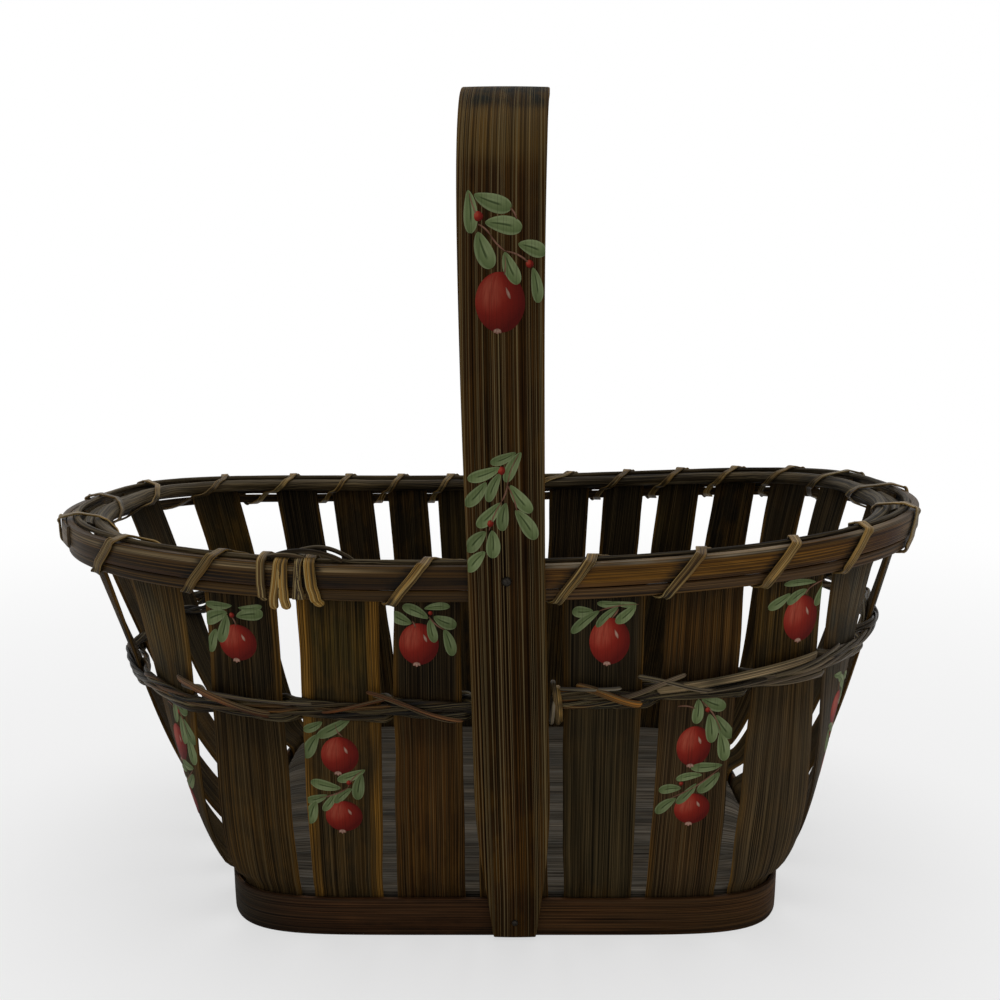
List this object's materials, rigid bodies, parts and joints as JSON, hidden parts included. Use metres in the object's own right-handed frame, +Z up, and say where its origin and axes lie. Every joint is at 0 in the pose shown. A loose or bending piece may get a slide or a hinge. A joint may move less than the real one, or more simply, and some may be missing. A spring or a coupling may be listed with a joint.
{
  "type": "oblong stave basket with bent handle",
  "caption": "Oblong open basket of split wooden staves with a lashed double rim, a twined band at mid height, a board floor and one fixed flat handle bent over from front to back.",
  "frame": {"origin": "on the ground under the middle of the rim's oval, at the centre of the bounding box's base", "axes": "+Z up, +X to the right along the basket's length, -Y to the front face that the picture shows"},
  "size_m": [0.3573, 0.2362, 0.319],
  "materials": {
    "stave_wood": "dark walnut stain rubbed over split bamboo, satin",
    "hoop_bamboo": "amber-brown stained split bamboo, satin",
    "reed": "grey-brown stained round reed",
    "lashing_cane": "straw-brown cane, worn satin",
    "weaver_reed": "grey-brown split reed with rust-brown strands",
    "band_wood": "red-brown stained bamboo strip, fine straight grain",
    "floor_wood": "weathered grey-brown board, dull",
    "handle_wood": "dark stained bamboo strip with fine straight grain and painted sprigs, satin",
    "nail_iron": "dull grey oxidised nail head"
  },
  "bodies": {
    "root": {"foot_band": "band_wood", "floor_board_front": "floor_wood", "floor_board_back": "floor_wood", "stave_front_1": "stave_wood", "stave_front_2": "stave_wood", "stave_front_3": "stave_wood", "stave_front_4": "stave_wood", "stave_front_5": "stave_wood", "stave_front_6": "stave_wood", "stave_front_7": "stave_wood", "stave_front_8": "stave_wood", "stave_front_9": "stave_wood", "stave_right_1": "stave_wood", "stave_right_2": "stave_wood", "stave_back_1": "stave_wood", "stave_back_2": "stave_wood", "stave_back_3": "stave_wood", "stave_back_4": "stave_wood", "stave_back_5": "stave_wood", "stave_back_6": "stave_wood", "stave_back_7": "stave_wood", "stave_back_8": "stave_wood", "stave_back_9": "stave_wood", "stave_back_10": "stave_wood", "stave_back_11": "stave_wood", "stave_left_1": "stave_wood", "stave_left_2": "stave_wood", "stave_left_3": "stave_wood", "stave_left_4": "stave_wood", "outer_hoop": "hoop_bamboo", "under_hoop": "hoop_bamboo", "inner_hoop": "reed", "rim_filler": "reed", "end_reed_right_1": "reed", "end_reed_right_2": "reed", "end_reed_left_1": "reed", "end_reed_left_2": "reed", "rim_lashing": "lashing_cane", "weaver_first": "weaver_reed", "weaver_second": "weaver_reed", "weaver_third": "weaver_reed", "handle": "handle_wood", "handle_nail_front": "nail_iron", "foot_tack_front": "nail_iron", "handle_nail_back": "nail_iron", "foot_tack_back": "nail_iron"}
  },
  "joints": []
}
